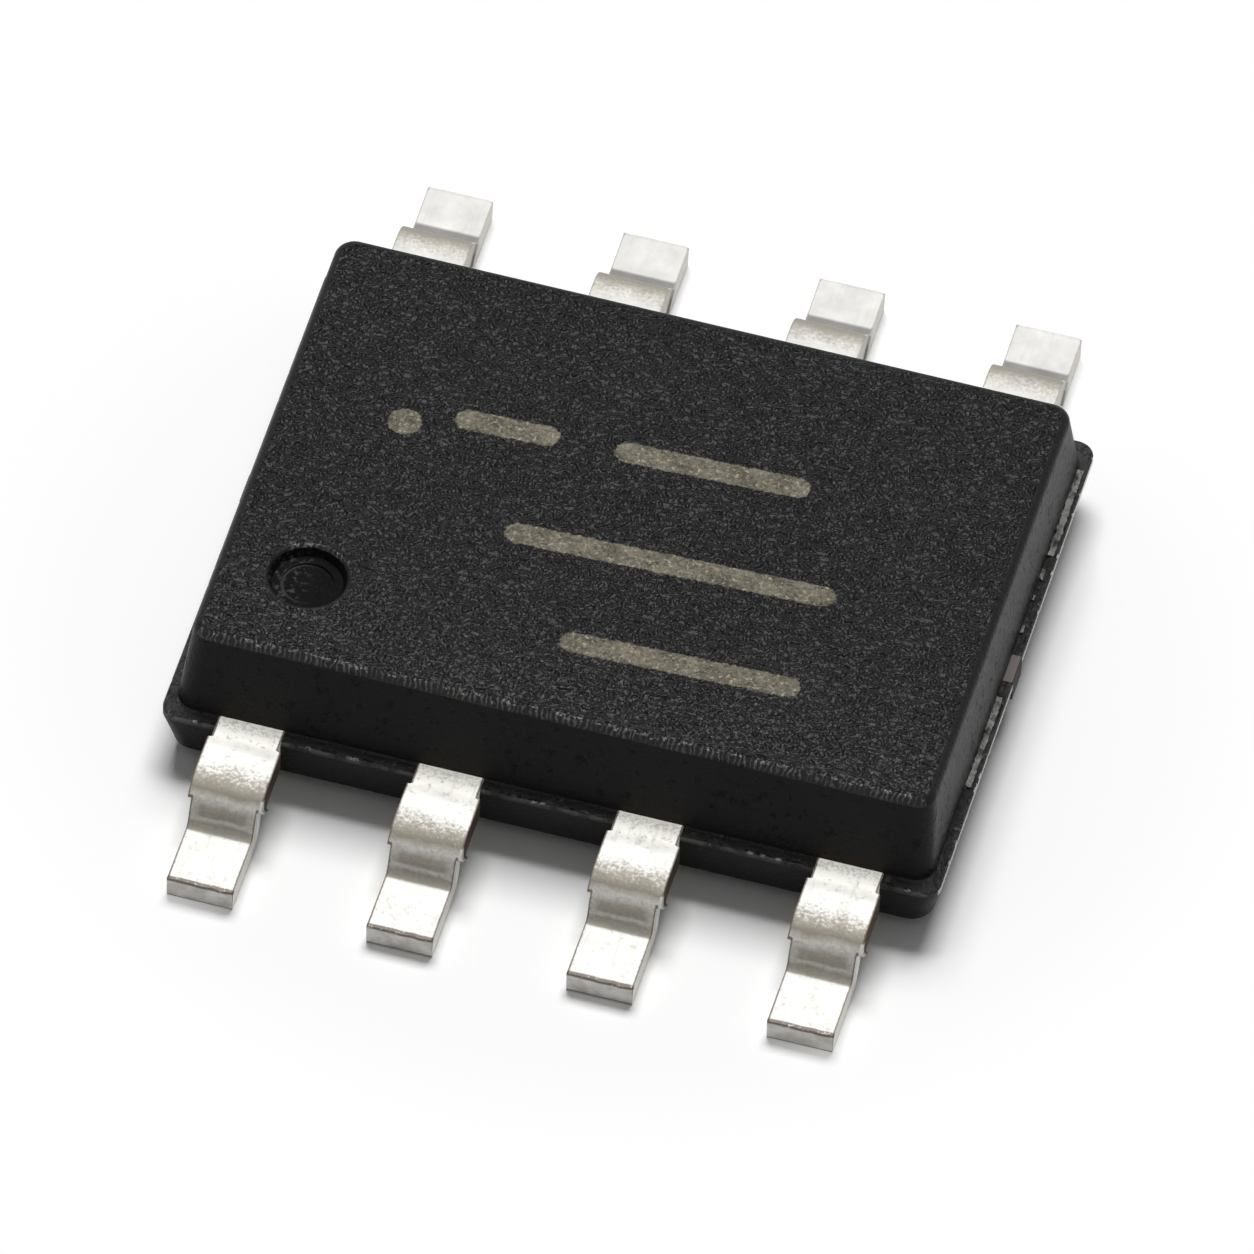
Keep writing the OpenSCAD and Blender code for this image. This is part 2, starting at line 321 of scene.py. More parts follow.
def finish_piece(piece):
    """Merges doubles, turns faces outwards, shades, and puts a piece's size in metres into its mesh."""
    edit(piece)
    select_all()
    bpy.ops.mesh.remove_doubles(threshold=TINY / 10)
    turn_outwards()
    leave_edit()
    bpy.ops.object.shade_smooth_by_angle(angle=SMOOTH_ANGLE)
    apply_modifier(piece, "WEIGHTED_NORMAL", keep_sharp=True)
    piece.scale = (MM, MM, MM)
    apply_place()


def give_material(piece, material, test):
    """Gives a material to the faces of a piece that pass a test."""
    piece.data.materials.append(material)
    edit(piece)
    select_parts(piece, "faces", test)
    piece.active_material_index = len(piece.data.materials) - 1
    bpy.ops.object.material_slot_assign()
    leave_edit()


def span(edge):
    """From one end of an edge to the other."""
    return edge.verts[0].co - edge.verts[1].co


def add_loop(piece, size_x, size_y, corner_r, z):
    """Adds a rounded rectangle to the open mesh, as a closed loop of edges."""
    bpy.ops.mesh.select_mode(type="VERT")
    bpy.ops.mesh.select_all(action="DESELECT")
    bpy.ops.mesh.primitive_plane_add(size=1, location=(0, 0, z))
    scale_selected((size_x, size_y, 1), (0, 0, z))
    bpy.ops.mesh.bevel(affect="VERTICES", offset=corner_r, segments=CORNER_SEGMENTS)
    bpy.ops.mesh.delete(type="ONLY_FACE")
    for axis, half_cuts in enumerate(HALF_SIDE_CUTS):
        for cuts in (1, half_cuts):
            select_parts(piece, "edges", lambda edge: abs(span(edge)[axis]) > LONG_EDGE)
            bpy.ops.mesh.subdivide(number_cuts=cuts)


def select_loops(piece, first, last):
    """Selects the loops from first to last, in the order in which they were added."""
    numbers = range(first * LOOP_VERTS, (last + 1) * LOOP_VERTS)
    select_parts(piece, "verts", lambda vert: vert.index in numbers)


def loft(piece, loops):
    """Adds loops of the given sizes, bridges each to the one before it, and closes both ends."""
    for number, loop in enumerate(loops):
        add_loop(piece, *loop)
        if number:
            select_loops(piece, number - 1, number)
            bpy.ops.mesh.select_mode(type="EDGE")
            bpy.ops.mesh.bridge_edge_loops()
    for number in (0, len(loops) - 1):
        select_loops(piece, number, number)
        bpy.ops.mesh.edge_face_add()


def between(low, high, share):
    """Value that lies a share of the way from low to high."""
    return low + (high - low) * share


def quarter(steps):
    """Angles from nought to a quarter turn, in equal steps."""
    return [math.pi / 2 * step / steps for step in range(steps + 1)]


def body_loops(body):
    """Loops of the body from the underside to the top, and the numbers of the first and last ledge loop."""
    outer = (body.body_l, body.body_w, body.ledge_corner_r)
    inner = (body.body_l - 2 * body.end_ledge, body.body_w - 2 * body.side_ledge, body.upper_corner_r)
    under = (body.body_l - 2 * body.lower_draft, body.body_w - 2 * body.lower_draft, body.lower_corner_r)
    top = (inner[0] - 2 * body.end_draft, inner[1] - 2 * body.side_draft, body.upper_corner_r)

    def inset(loop, by, z):
        return (loop[0] - 2 * by, loop[1] - 2 * by, loop[2] - by, z)

    loops = []
    for turn in quarter(EDGE_SEGMENTS):
        by = body.lower_edge_r * (1 - math.sin(turn))
        loops.append(inset(under, by, body.underside_z + body.lower_edge_r * (1 - math.cos(turn))))
    loops.append((*outer, body.parting_z - body.rim_h))
    loops.append((*outer, body.parting_z - body.rim_r))
    first_ledge = len(loops)
    for share in LEDGE_SHARES:
        fallen = body.parting_z - body.groove * share * share
        loops.append((*(between(*pair, share) for pair in zip(outer, inner)), fallen))
    last_ledge = len(loops) - 1
    loops.append((*inner, body.parting_z))
    for turn in quarter(EDGE_SEGMENTS):
        by = body.top_edge_r * (1 - math.cos(turn))
        loops.append(inset(top, by, body.top_z - body.top_edge_r * (1 - math.sin(turn))))
    return loops, first_ledge, last_ledge


def dimple_middle(body):
    """Middle of the pin one dimple at the top face."""
    x = body.dimple_from_end - body.body_l / 2
    y = body.dimple_from_side - body.body_w / 2
    return Vector((x, y, body.top_z))


def cut_dimple(piece, body):
    """Adds the form of the dimple to the open cutter: a leaning wall with a step in its floor."""
    middle = dimple_middle(body)
    mouth_r = body.dimple_d / 2
    floor_r = mouth_r - body.dimple_draft
    bpy.ops.mesh.primitive_cylinder_add(
        vertices=ROUND_VERTS, radius=floor_r, depth=2 * body.dimple_depth, location=middle
    )
    flare = 1 + 2 * body.dimple_draft / floor_r
    floor_z = middle.z - body.dimple_depth
    select_parts(piece, "verts", lambda vert: vert.co.z > middle.z)
    scale_selected((flare, flare, 1), middle)
    select_parts(piece, "faces", lambda face: abs(face.calc_center_median().z - floor_z) < TINY)
    bpy.ops.mesh.inset(thickness=floor_r - body.dimple_step_d / 2)
    extrude((0, 0, -body.dimple_step))


def cut_ejector_marks(body):
    """Adds the forms of the two ejector marks to the open cutter."""
    for side in (-1, 1):
        bpy.ops.mesh.primitive_cylinder_add(
            vertices=ROUND_VERTS,
            radius=body.ejector_d / 2,
            depth=2 * body.ejector_depth,
            location=(side * body.ejector_pitch / 2, 0, body.underside_z),
        )


def cut_notch(low, high):
    """Adds a box to the open cutter, for a lead or a tie bar to leave the ledge through."""
    bpy.ops.mesh.primitive_cube_add(size=1, location=(low + high) / 2)
    scale_selected(high - low, (low + high) / 2)


def lead_x(place):
    """Place of a lead along its row, counted from the left."""
    return (place - (ROW - 1) / 2) * PITCH


def cut_ledge(body, lead):
    """Adds the notches in the ledge for the leads and the tie bars."""
    low_z = body.parting_z - lead.sheet_t
    high_z = body.parting_z + lead.sheet_t
    wall_y = body.body_w / 2 - body.side_ledge
    wall_x = body.body_l / 2 - body.end_ledge
    for side in (-1, 1):
        for place in range(ROW):
            ends = sorted((side * wall_y, side * (wall_y + 2 * body.side_ledge)))
            left = lead_x(place) - lead.lead_w / 2
            cut_notch(Vector((left, ends[0], low_z)), Vector((left + lead.lead_w, ends[1], high_z)))
        ends = sorted((side * wall_x, side * (wall_x + 2 * body.end_ledge)))
        half = body.tie_w / 2
        cut_notch(Vector((ends[0], -half, low_z)), Vector((ends[1], half, high_z)))


def model_body(body, lead):
    """Models the moulded body as one lofted form, with a chipped ledge, and cuts its marks and notches."""
    piece = start_mesh("package_body")
    loops, first_ledge, last_ledge = body_loops(body)
    loft(piece, loops)
    select_loops(piece, first_ledge, last_ledge)
    roughen(body.ledge_chip, LEDGE_SEED)
    cutter = start_mesh("body_cutter")
    cut_dimple(cutter, body)
    cut_ejector_marks(body)
    cut_ledge(body, lead)
    for made in (cutter, piece):
        edit(made)
        turn_outwards()
        leave_edit()
    apply_modifier(piece, "BOOLEAN", operation="DIFFERENCE", object=cutter, solver="EXACT")
    bpy.data.objects.remove(cutter)
    edit(piece)
    middle = dimple_middle(body)

    def on_mouth(edge):
        distances = [(vert.co - middle).length for vert in edge.verts]
        return all(abs(distance - body.dimple_d / 2) < TINY for distance in distances)

    select_parts(piece, "edges", on_mouth)
    bpy.ops.mesh.bevel(offset=body.dimple_lip, segments=LIP_SEGMENTS)
    leave_edit()
    return piece


def model_lead(body, lead, shift):
    """Models a lead from its tip inwards: foot, heel, slope, shoulder, stub, neck and widened inner end."""
    thick = lead.sheet_t
    heel_y = lead.tip_y - lead.foot_l
    outer_r = lead.shoulder_r + thick
    sheet_z = body.parting_z - thick
    bend_share = 1 - math.cos(lead.slope)
    slope_l = (sheet_z - (outer_r + lead.heel_r) * bend_share) / math.sin(lead.slope)
    bend_run = (outer_r + lead.heel_r) * math.sin(lead.slope) + slope_l * math.cos(lead.slope)
    shoulder_y = heel_y - bend_run
    wall_y = body.body_w / 2 - body.side_ledge
    stub_y = wall_y + lead.neck_l
    neck_y = lead.inner_y + lead.finger_l
    tip_middle = (0, -lead.tip_y, thick / 2)
    shoulder_middle = (0, -shoulder_y, sheet_z - lead.shoulder_r)

    deselect_all()
    bpy.ops.mesh.primitive_plane_add(size=1, location=tip_middle, rotation=(math.pi / 2, 0, 0))
    piece = bpy.context.object
    apply_place()
    edit(piece)
    select_all()
    scale_selected((lead.lead_w, 1, thick), tip_middle)
    select_parts(piece, "edges", lambda edge: abs(span(edge).x) > TINY)
    bpy.ops.mesh.subdivide(number_cuts=LEAD_COLUMNS)
    bpy.ops.mesh.select_mode(type="FACE")
    select_all()
    extrude((0, lead.foot_l, 0))
    bpy.ops.mesh.spin(
        steps=HEEL_STEPS, angle=-lead.slope, center=(0, -heel_y, thick + lead.heel_r), axis=(1, 0, 0)
    )
    extrude((0, slope_l * math.cos(lead.slope), slope_l * math.sin(lead.slope)))
    for steps, turn in ((SHOULDER_STEPS, lead.slope - lead.dam_bend), (STUB_STEPS, lead.dam_bend)):
        bpy.ops.mesh.spin(steps=steps, angle=turn, center=shoulder_middle, axis=(1, 0, 0))
    for run in (shoulder_y - stub_y, stub_y - wall_y, wall_y - neck_y):
        extrude((0, run, 0))

    chamfer = lead.finger_chamfer
    narrow = lead.finger_w - 2 * chamfer
    inner_middle = (shift, -lead.inner_y, body.parting_z)
    extrude((shift, 0, 0))
    scale_selected((narrow / lead.lead_w, 1, 1), inner_middle)
    extrude((0, chamfer, 0))
    scale_selected((lead.finger_w / narrow, 1, 1), inner_middle)
    extrude((0, lead.finger_l - 2 * chamfer, 0))
    extrude((0, chamfer, 0))
    scale_selected((narrow / lead.finger_w, 1, 1), inner_middle)

    turn_outwards()
    bend_y = shoulder_y + (lead.shoulder_r + thick / 2) * math.sin(lead.dam_bend)

    def on_stub(face):
        return stub_y < -face.calc_center_median().y < bend_y

    def at_burr(edge):
        outermost = all(vert.co.x > lead.dam_w / 2 - TINY for vert in edge.verts)
        through_sheet = abs(edge.calc_length() - thick) < TINY
        edge_y = -(edge.verts[0].co + edge.verts[1].co).y / 2
        return outermost and through_sheet and abs(edge_y - bend_y) < TINY

    for side in (-1, 1):
        select_parts(piece, "faces", lambda face: face.normal.x * side > SQUARE_ON and on_stub(face))
        extrude((side * (lead.dam_w - lead.lead_w) / 2, 0, 0))
    select_parts(piece, "edges", at_burr)
    bpy.ops.transform.translate(value=(lead.burr, 0, 0))
    select_parts(piece, "verts", lambda vert: -vert.co.y > lead.tip_y - TINY and vert.co.z > thick - TINY)
    roughen(lead.tip_tear, TIP_SEED)
    leave_edit()
    apply_modifier(
        piece,
        "BEVEL",
        width=lead.edge_r,
        segments=STAMPED_SEGMENTS,
        limit_method="ANGLE",
        angle_limit=STAMPED_ANGLE,
    )
    return piece


def place_lead(model, name, place, far):
    """Copies a modelled lead to its place in a row, mirrored for the far row."""
    pick(model)
    bpy.ops.object.duplicate()
    piece = bpy.context.object
    name_piece(piece, name)
    piece.location = (lead_x(place), 0, 0)
    if far:
        piece.scale = (1, -1, 1)
    apply_place()
    finish_piece(piece)
    return piece


def tint(colour, factor=1.0):
    """A colour made darker or lighter by a factor, with full alpha."""
    return (*(factor * part for part in colour), 1.0)


def blended(first, second, share):
    """Colour that lies a share of the way from the first to the second."""
    return [between(*pair, share) for pair in zip(first, second)]


class Wiring:
    """Adds nodes to a shader tree and links them; its methods return the socket that they make."""

    def __init__(self, tree):
        self.tree = tree

    def add(self, kind, inputs=None, **settings):
        """Adds a node, sets its options, and sets or links its inputs by name or number."""
        node = self.tree.nodes.new(kind)
        for key, value in settings.items():
            setattr(node, key, value)
        for key, value in (inputs or {}).items():
            self.put(node.inputs[key], value)
        return node

    def put(self, socket, value):
        """Sets a socket to a value, or links it to another socket."""
        if isinstance(value, bpy.types.NodeSocket):
            self.tree.links.new(value, socket)
        else:
            socket.default_value = value

    def math(self, operation, *values):
        """Result of one operation on numbers and sockets."""
        inputs = dict(enumerate(values))
        return self.add("ShaderNodeMath", inputs, operation=operation).outputs[0]

    def times(self, first, *others):
        """Product of all the values."""
        for value in others:
            first = self.math("MULTIPLY", first, value)
        return first

    def most(self, first, *others):
        """Largest of the values."""
        for value in others:
            first = self.math("MAXIMUM", first, value)
        return first

    def less(self, value, taken):
        """Value with another taken from it."""
        return self.math("SUBTRACT", value, taken)

    def scaled(self, value, factor, start):
        """Value times a factor, added to a start."""
        return self.math("MULTIPLY_ADD", value, factor, start)

    def size(self, value):
        """Value without its sign."""
        return self.math("ABSOLUTE", value)

    def vector(self, operation, *values):
        """Result of one operation on vectors."""
        inputs = dict(enumerate(values))
        return self.add("ShaderNodeVectorMath", inputs, operation=operation).outputs[0]

    def reach(self, vector):
        """Length of a vector."""
        return self.add("ShaderNodeVectorMath", {0: vector}, operation="LENGTH").outputs["Value"]

    def mix(self, share, first, second, blend="MIX"):
        """Colour between two colours."""
        inputs = {0: share, 6: first, 7: second}
        return self.add("ShaderNodeMix", inputs, data_type="RGBA", blend_type=blend).outputs[2]

    def shades(self, share, colour, low, high):
        """One colour between a darker and a lighter shade of it."""
        return self.mix(share, tint(colour, low), tint(colour, high))

    def share(self, value, low, high, kind="LINEAR"):
        """How far a value lies from low to high, from 0 to 1."""
        inputs = {"Value": value, "From Min": low, "From Max": high}
        return self.add("ShaderNodeMapRange", inputs, interpolation_type=kind).outputs[0]

    def fade(self, value, low, high):
        """Smooth step from 0 at low to 1 at high."""
        return self.share(value, low, high, "SMOOTHSTEP")

    def band(self, value, low, high, soft):
        """1 between low and high, fading to 0 over a soft border outside."""
        return self.times(self.fade(value, low - soft, low), self.fade(value, high + soft, high))

    def noise(self, vector, scale, detail=2.0, roughness=0.5, output="Fac"):
        """Cloudy noise, with its scale per millimetre."""
        inputs = {"Vector": vector, "Scale": scale, "Detail": detail, "Roughness": roughness}
        return self.add("ShaderNodeTexNoise", inputs).outputs[output]

    def group(self, name, inputs):
        """Outputs of a shader node group."""
        return self.add("ShaderNodeGroup", inputs, node_tree=bpy.data.node_groups[name]).outputs

    def bump(self, height, distance):
        """Normal of a surface that a height of 1 raises by a distance in millimetres."""
        inputs = {"Height": height, "Distance": distance * MM, "Strength": 1.0}
        return self.add("ShaderNodeBump", inputs).outputs[0]

    def millimetres(self):
        """Place on the piece, in millimetres."""
        place = self.add("ShaderNodeTexCoord").outputs["Object"]
        return self.add("ShaderNodeMapping", {"Vector": place, "Scale": (1 / MM,) * 3}).outputs[0]

    def split(self, vector):
        """The three parts of a vector."""
        return self.add("ShaderNodeSeparateXYZ", {0: vector}).outputs

    def facing(self):
        """The three parts of the face's own normal."""
        return self.split(self.add("ShaderNodeNewGeometry").outputs["True Normal"])

    def along_pitch(self, x):
        """Distance along a row from the middle of the nearest lead."""
        return self.math("WRAP", self.less(x, lead_x(0)), PITCH / 2, -PITCH / 2)


def start_group(name, inputs, outputs):
    """Starts a shader node group with float inputs, a vector first, and float outputs."""
    tree = bpy.data.node_groups.new(name, "ShaderNodeTree")
    tree.interface.new_socket("Vector", in_out="INPUT", socket_type="NodeSocketVector")
    for socket, default in inputs.items():
        made = tree.interface.new_socket(socket, in_out="INPUT", socket_type="NodeSocketFloat")
        made.default_value = default
    for socket in outputs:
        tree.interface.new_socket(socket, in_out="OUTPUT", socket_type="NodeSocketFloat")
    wiring = Wiring(tree)
    entry = wiring.add("NodeGroupInput").outputs
    leave = wiring.add("NodeGroupOutput").inputs
    return wiring, entry, leave


def make_pebble_group():
    """Spark-eroded grain: small wandering ridges with a finer tooth over them, and sparse flecks."""
    net, entry, leave = start_group("Pebble grain", {"Grains per mm": 24.0}, ["Height", "Fleck"])
    ridges = net.noise(entry["Vector"], entry["Grains per mm"], 1.0, 0.3)
    fine = net.noise(entry["Vector"], 70.0)
    net.put(leave["Height"], net.scaled(fine, 0.08, ridges))
    net.put(leave["Fleck"], net.fade(net.noise(entry["Vector"], 21.0), 0.6, 0.72))


def make_scratch_group():
    """Fine scratches in two directions and a soft mottle."""
    net, entry, leave = start_group(
        "Rubbed metal", {"Scratches per mm": 40.0, "Mottle per mm": 6.0}, ["Scratch", "Mottle"]
    )
    marks = []
    for turn, stretch in ((0.35, 0.05), (-0.9, 0.08)):
        inputs = {"Vector": entry["Vector"], "Rotation": (0, 0, turn), "Scale": (1, stretch, 1)}
        turned = net.add("ShaderNodeMapping", inputs).outputs[0]
        lines = net.noise(turned, entry["Scratches per mm"], 1.0)
        marks.append(net.fade(lines, 0.62, 0.75))
    net.put(leave["Scratch"], net.most(*marks))
    net.put(leave["Mottle"], net.noise(entry["Vector"], entry["Mottle per mm"], 4.0, 0.65))


def make_bar_group():
    """A bar with round ends, as a mask."""
    net, entry, leave = start_group(
        "Etched bar", {"Middle X": 0.0, "Middle Y": 0.0, "Half run": 0.5, "Half height": 0.08}, ["Mask"]
    )
    x, y, _ = net.split(entry["Vector"])
    past = net.most(net.less(net.size(net.less(x, entry["Middle X"])), entry["Half run"]), 0.0)
    across = net.less(y, entry["Middle Y"])
    reach = net.math("SQRT", net.math("ADD", net.times(past, past), net.times(across, across)))
    net.put(leave["Mask"], net.fade(net.less(entry["Half height"], reach), -0.006, 0.006))


def start_material(name, **sockets):
    """Starts a material with one Principled shader and sets its constant sockets."""
    material = bpy.data.materials.new(name)
    material.use_nodes = True
    wiring = Wiring(material.node_tree)
    shader = material.node_tree.nodes["Principled BSDF"]
    for key, value in sockets.items():
        shader.inputs[key.replace("_", " ")].default_value = value
    return material, wiring, shader.inputs


# Grain of the spark-eroded top, and of the flash, in grains per millimetre
TOP_GRAINS = 26.0
FLASH_GRAINS = 30.0
# Where along Y the top's pale teeth, painted glints in the grain, start and where they are full
PAINTED_GLINTS_Y = (-0.6, -1.6)
MARK_TURN = math.radians(-2)
MARK_RAGGED = 0.035
# Etched dot and bars: middle X, middle Y, half the straight run and half the height
MARK_BARS = (
    (-1.5455, 0.384, 0.0, 0.105),
    (-0.92, 0.5, 0.25, 0.08),
    (0.378, 0.5, 0.537, 0.08),
    (0.303, -0.315, 0.9635, 0.08),
    (0.549, -1.081, 0.6755, 0.08),
)


def etched_marks(net, place):
    """Mask of the etched dot and bars, with slightly ragged outlines."""
    turned = net.add("ShaderNodeMapping", {"Vector": place, "Rotation": (0, 0, MARK_TURN)}).outputs[0]
    stray = net.vector("SUBTRACT", net.noise(place, 38.0, output="Color"), (0.5,) * 3)
    ragged = net.vector("MULTIPLY_ADD", stray, (MARK_RAGGED,) * 3, turned)
    marks = 0.0
    for x, y, run, rise in MARK_BARS:
        inputs = {"Middle X": x, "Middle Y": y, "Half run": run, "Half height": rise}
        marks = net.most(net.group("Etched bar", {"Vector": ragged, **inputs})["Mask"], marks)
    return marks


def top_material(colours):
    """Spark-eroded top of the compound, with sandy etched marks that carry painted glints, and pale teeth
    in the grain painted as glints, stronger towards the front.
    """
    material, net, shader = start_material("compound_top", Specular_IOR_Level=0.08)
    place = net.millimetres()
    grain = net.group("Pebble grain", {"Vector": place, "Grains per mm": TOP_GRAINS})
    marks = etched_marks(net, place)
    patches = net.times(net.noise(place, 7.0), 0.35)
    tone = net.fade(net.scaled(net.noise(place, 40.0, 4.0, 0.75), 0.65, patches), 0.34, 0.66)
    # Painted glints on the etched marks.
    glints = net.fade(net.noise(place, 34.0, 3.0, 0.7), 0.54, 0.66)
    burnt = net.mix(glints, net.shades(tone, colours.etch, 0.3, 1.15), tint(colours.etch, 1.9))
    dark = net.shades(net.noise(place, 1.4, 3.0), colours.compound, 0.8, 1.2)
    front = net.fade(net.split(place)[1], *PAINTED_GLINTS_Y)
    # Painted glints: pale teeth in the grain, faint all over and full towards the front.
    painted_glints = net.fade(net.noise(place, 38.0, 2.0, 0.6), 0.56, 0.68)
    dark = net.mix(net.times(painted_glints, net.scaled(front, 0.9, 0.1)), dark, tint(colours.chip_and_highlight, 0.4))
    net.put(shader["Base Color"], net.mix(marks, dark, burnt))
    rough = net.scaled(grain["Fleck"], -0.04, 0.2)
    net.put(shader["Roughness"], net.scaled(marks, 0.25, rough))
    net.put(shader["Normal"], net.bump(grain["Height"], 0.025))
    return material


def edge_material(body, colours):
    """Front rounding of the top, where the grain is drawn out into clusters of short upright strokes,
    painted pale as painted glints.
    """
    material, net, shader = start_material("compound_edge", Specular_IOR_Level=0.22)
    place = net.millimetres()
    grain = net.group("Pebble grain", {"Vector": place, "Grains per mm": TOP_GRAINS})
    rough = net.fade(net.split(place)[2], body.top_z - 0.06, body.top_z - 0.03)
    inputs = {"Vector": place, "Scale": 9.0, "Distortion": 7.0, "Detail": 2.0, "Detail Scale": 1.6}
    arcs = net.fade(net.add("ShaderNodeTexWave", inputs).outputs["Fac"], 0.55, 1.0)
    clusters = net.fade(net.noise(place, 6.0), 0.36, 0.58)
    # Painted glints: pale strokes in clusters on the rounding's upper part.
    glint_strokes = net.times(arcs, net.noise(place, 30.0), rough, net.scaled(clusters, 0.75, 0.25))
    net.put(shader["Base Color"], net.mix(glint_strokes, tint(colours.compound), tint(colours.chip_and_highlight)))
    net.put(shader["Roughness"], net.scaled(rough, -0.15, 0.4))
    raised = net.times(grain["Height"], net.scaled(rough, 0.9, 0.1))
    net.put(shader["Normal"], net.bump(raised, 0.03))
    return material


def dimple_material(body, colours):
    """Dull, uneven compound in the dimple, with pale flecks and a pale ring round the step painted on its
    left side as painted light.
    """
    material, net, shader = start_material("compound_dimple", Specular_IOR_Level=0.03)
    place = net.millimetres()
    offset = net.vector("MULTIPLY", net.vector("SUBTRACT", place, dimple_middle(body)), (1, 1, 0))
    left = net.fade(net.split(offset)[0], 0.08, -0.12)
    step = body.dimple_step_d / 2
    ring = net.times(net.band(net.reach(offset), step - 0.014, step, 0.006), 0.6)
    flecks = net.fade(net.noise(place, 26.0, 3.0, 0.6), 0.5, 0.68)
    # Painted light: the pale flecks and the ring are kept to the dimple's left side.
    pale = net.times(net.most(ring, flecks), left)
    net.put(shader["Base Color"], net.mix(pale, tint(colours.skin, 0.7), tint(colours.chip_and_highlight, 0.3)))
    net.put(shader["Roughness"], net.scaled(flecks, -0.2, 0.6))
    net.put(shader["Normal"], net.bump(flecks, 0.004))
    return material


def skin_material(body, colours):
    """Smooth moulded skin: fine grain, pits, scuffed ends and a faint stain over each lead."""
    material, net, shader = start_material("compound_skin", Specular_IOR_Level=0.12)
    place = net.millimetres()
    x, _, z = net.split(place)
    grain = net.noise(place, 45.0, 3.0)
    over_lead = net.band(net.along_pitch(x), -0.2, 0.2, 0.12)
    low = net.fade(z, body.parting_z + 0.16, body.parting_z)
    stained = net.times(over_lead, low, net.noise(place, 5.0))
    ends = net.size(net.facing()[0])
    scuffs = net.times(net.fade(net.noise(place, 34.0, 4.0, 0.7), 0.42, 0.62), net.fade(ends, 0.85, 0.97))
    dark = net.mix(scuffs, net.shades(grain, colours.skin, 0.7, 1.3), tint(colours.scuff_and_ledge_light))
    net.put(shader["Base Color"], net.mix(stained, dark, tint(colours.stain)))
    net.put(shader["Roughness"], net.scaled(ends, -0.12, net.scaled(grain, 0.2, 0.42)))
    pits = net.fade(net.noise(place, 14.0, 4.0, 0.7), 0.42, 0.3)
    net.put(shader["Normal"], net.bump(net.scaled(pits, -0.9, net.times(grain, 0.5)), 0.012))
    return material


def rim_material(body, colours):
    """Compound of the ledge and the lower half: broken skin and painted light on the ledge, fine grain
    below it.
    """
    material, net, shader = start_material("compound_rim", Specular_IOR_Level=0.12)
    place = net.millimetres()
    _, y, z = net.split(place)
    on_ledge = net.fade(z, body.parting_z - 0.04, body.parting_z - 0.01)
    half = body.body_w / 2
    lip = net.band(net.size(y), half - 0.012, half - 0.001, 0.006)
    chipped = net.fade(net.noise(place, 16.0, 4.0, 0.7), 0.52, 0.66)
    pale = net.times(lip, net.fade(net.noise(place, 9.0, 3.0, 0.6), 0.35, 0.6))
    broken = net.times(net.most(chipped, pale), on_ledge)
    grain = net.noise(place, 40.0, 3.0)
    dark = net.shades(grain, colours.skin, 1.5, 3.0)
    # Painted light: the ledge's top is lightened half way to the scuff colour.
    dark = net.mix(net.times(on_ledge, 0.5), dark, tint(colours.scuff_and_ledge_light))
    net.put(shader["Base Color"], net.mix(broken, dark, tint(colours.chip_and_highlight, 0.5)))
    net.put(shader["Roughness"], net.scaled(grain, 0.25, 0.35))
    net.put(shader["Normal"], net.bump(net.math("ADD", grain, net.times(broken, 2.0)), 0.006))
    return material


def rim_highlight_material(colours):
    """Smooth upright rim at the body's ends, painted pale all over as a painted highlight."""
    material, net, shader = start_material("compound_rim_end", Specular_IOR_Level=0.5)
    cloud = net.noise(net.millimetres(), 12.0, 3.0, 0.6)
    # Painted highlight: a pale cloud of the chip colour.
    net.put(shader["Base Color"], net.shades(cloud, colours.chip_and_highlight, 0.8, 3.0))
    net.put(shader["Roughness"], net.scaled(cloud, 0.2, 0.1))
    return material


def flash_material(colours):
    """Pale broken face of the flash on the ledge."""
    material, net, shader = start_material("compound_flash", Specular_IOR_Level=0.3)
    place = net.millimetres()
    grain = net.group("Pebble grain", {"Vector": place, "Grains per mm": FLASH_GRAINS})
    cloud = net.noise(place, 9.0, 4.0, 0.7)
    net.put(shader["Base Color"], net.shades(net.fade(cloud, 0.3, 0.65), colours.chip_and_highlight, 0.2, 1.6))
    net.put(shader["Roughness"], net.scaled(cloud, 0.3, 0.4))
    net.put(shader["Normal"], net.bump(grain["Height"], 0.03))
    return material


# Distance from the body's middle line, and how bright the plating is painted there: 0 rubbed tin, 1 fresh
# tin.
# On the shoulder bend the low values are rubbing wear; on the slope the dark lens, the light line below it
# and the dark heel crease are painted shade and light over that wear; above 1, by the body, is painted
# light on the necks, which lie in the body's shadow.
LEAD_ZONES = (
    (1.80, 2.0),
    (1.97, 2.0),
    (2.06, 1.3),
    (2.12, 1.0),
    (2.19, 0.95),
    (2.24, 0.6),
    (2.30, 0.11),
    (2.36, 0.0),
    (2.38, -0.06),
    (2.42, 0.62),
    (2.438, 0.52),
    (2.456, 0.17),
    (2.478, 0.1),
    (2.484, 0.62),
    (2.488, 0.5),
    (2.494, 0.14),
    (2.535, 0.06),
    (2.549, 1.0),
    (2.60, 0.91),
)
# How much painted light each step above 1 adds to the tin's colour
NECK_LIGHT_GAIN = 0.58
# Marks on a lead, from and to such a distance; where the first is larger, the mark fades outwards. The far
# row's bend, shoulder and heel marks are painted shade.
BY_WALL = (1.85, 1.89)
ROUGH_NECK = (2.1, 2.0)
STUB = (1.99, 2.42)
BARE_STUB = (2.375, 2.355)
BURR = (2.385, 2.5)
BEND = (2.2, 2.33)
SLOPE = (2.4, 2.54)
STEADY_SLOPE = (2.4, 2.46)
LENS = (2.44, 2.49)
FAR_BEND = (2.1, 2.42)
FAR_SHOULDER = (2.5, 2.45)
FAR_HEEL_SHADE = (2.5, 2.62)


